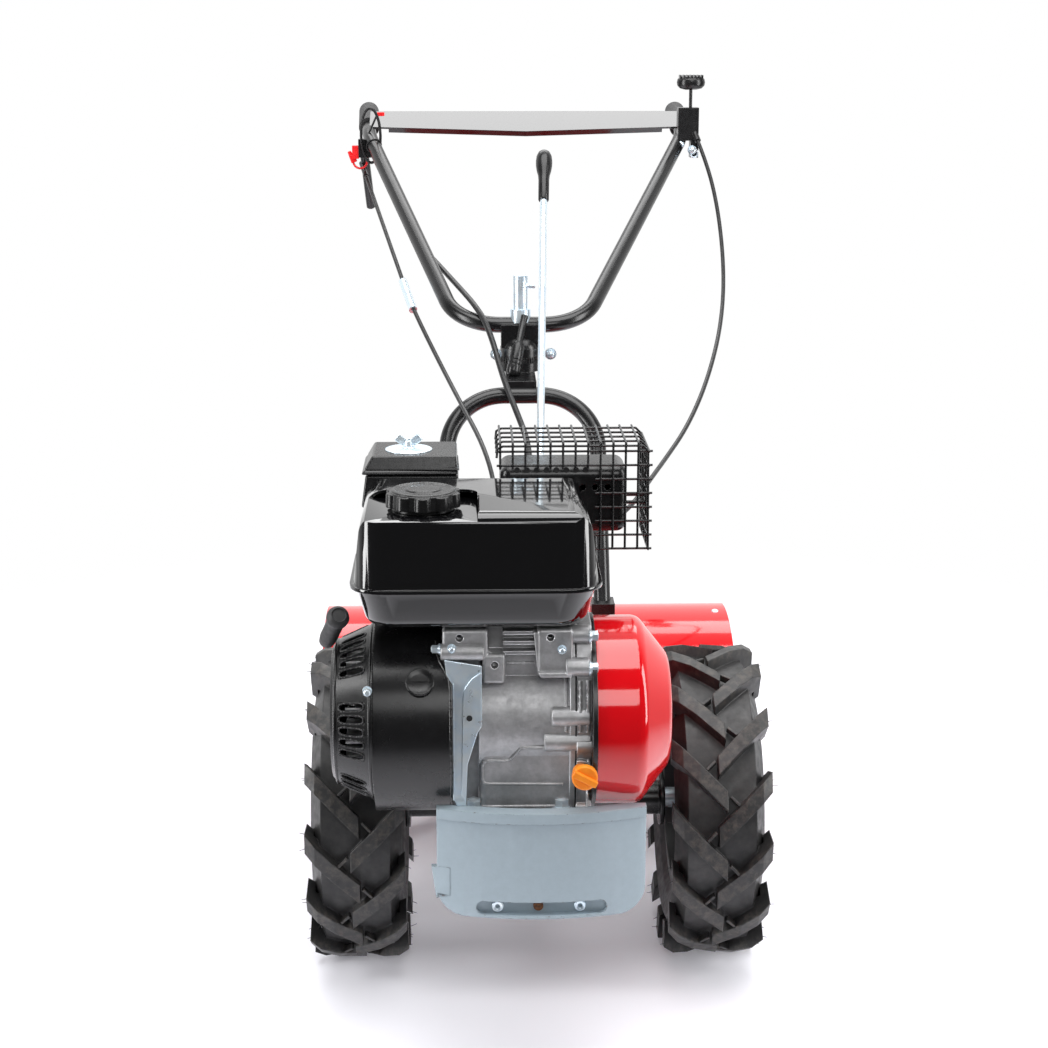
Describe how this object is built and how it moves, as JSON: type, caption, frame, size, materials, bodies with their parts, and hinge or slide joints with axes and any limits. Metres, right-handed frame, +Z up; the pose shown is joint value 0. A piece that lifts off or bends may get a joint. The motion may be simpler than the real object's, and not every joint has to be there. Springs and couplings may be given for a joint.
{
  "type": "walking garden tiller",
  "caption": "Walking garden tiller with engine, belt drive, lugged drive wheels, a hooded rear tine rotor, a hinged rear flap and an adjustable handlebar.",
  "frame": {"origin": "on the ground, under the middle of the machine's box", "axes": "+X to the machine's left, +Y to its rear, where the operator walks, +Z up"},
  "size_m": [0.5796, 1.3935, 1.052],
  "materials": {
    "gloss_red": "gloss",
    "gloss_black": "gloss",
    "satin_black": "satin",
    "black_plastic": "satin",
    "rubber": "matte",
    "tyre": "matte",
    "rim_black": "satin",
    "casting_blue": "satin",
    "cast_aluminium": "satin",
    "grey_casting": "satin",
    "zinc": "satin",
    "orange_plastic": "satin",
    "red_plastic": "satin",
    "cable_black": "satin",
    "forged_black": "satin"
  },
  "bodies": {
    "chassis": {"axles": "zinc", "bumper_weight": "casting_blue", "chassis_rails": "satin_black", "gearbox": "grey_casting", "belt_cover": "gloss_red", "belt_back_plate": "satin_black", "chain_case": "satin_black", "hood": "gloss_red", "flap_hinge": "zinc", "hitch_arm": "satin_black", "depth_spur": "satin_black", "crankcase": "cast_aluminium", "crankcase_cover": "cast_aluminium", "shroud_side_plate": "zinc", "cylinder": "cast_aluminium", "valve_cover": "satin_black", "fan_shroud": "satin_black", "recoil_housing": "satin_black", "flywheel_fan": "cast_aluminium", "starter_grip": "rubber", "fuel_tank": "gloss_black", "fuel_cap": "black_plastic", "carburettor": "cast_aluminium", "air_cleaner_base": "black_plastic", "air_cleaner_cover": "black_plastic", "wing_nut": "zinc", "muffler": "satin_black", "muffler_guard": "satin_black", "oil_dipstick": "orange_plastic", "handle_arch": "gloss_black", "arch_base": "satin_black", "handlebar": "gloss_black", "grip_left": "rubber", "grip_right": "rubber", "cross_plate": "gloss_black", "swivel_base": "satin_black", "handle_saddle": "satin_black", "clamp_nut": "zinc", "clamp_lever": "black_plastic", "clutch_clamp": "black_plastic", "clutch_lever": "black_plastic", "clutch_trigger": "red_plastic", "throttle_bracket": "black_plastic", "throttle_knob": "black_plastic", "gear_lever": "zinc", "gear_knob": "black_plastic", "throttle_cable": "cable_black", "clutch_cable": "cable_black", "cable_adjuster": "zinc", "centre_cable": "cable_black", "cable_holders": "black_plastic"},
    "wheel_left": {"tyre_left": "tyre", "rim_left": "rim_black"},
    "wheel_right": {"tyre_right": "tyre", "rim_right": "rim_black"},
    "tine_rotor": {"rotor_shaft": "forged_black", "tines_left": "forged_black", "tines_right": "forged_black"},
    "rear_flap": {"rear_flap": "gloss_red"}
  },
  "joints": [
    {"name": "wheel_left_spin", "type": "hinge", "parent": "chassis", "child": "wheel_left", "pos_m": [0.2135, -0.339, 0.19], "axis": [1, 0, 0], "continuous": true},
    {"name": "wheel_right_spin", "type": "hinge", "parent": "chassis", "child": "wheel_right", "pos_m": [-0.2135, -0.339, 0.19], "axis": [1, 0, 0], "continuous": true},
    {"name": "rotor_spin", "type": "hinge", "parent": "chassis", "child": "tine_rotor", "pos_m": [0, 0.006, 0.15], "axis": [1, 0, 0], "continuous": true},
    {"name": "rear_flap_hinge", "type": "hinge", "parent": "chassis", "child": "rear_flap", "pos_m": [0, 0.192, 0.194], "axis": [1, 0, 0], "range_deg": [-4, 75]}
  ]
}
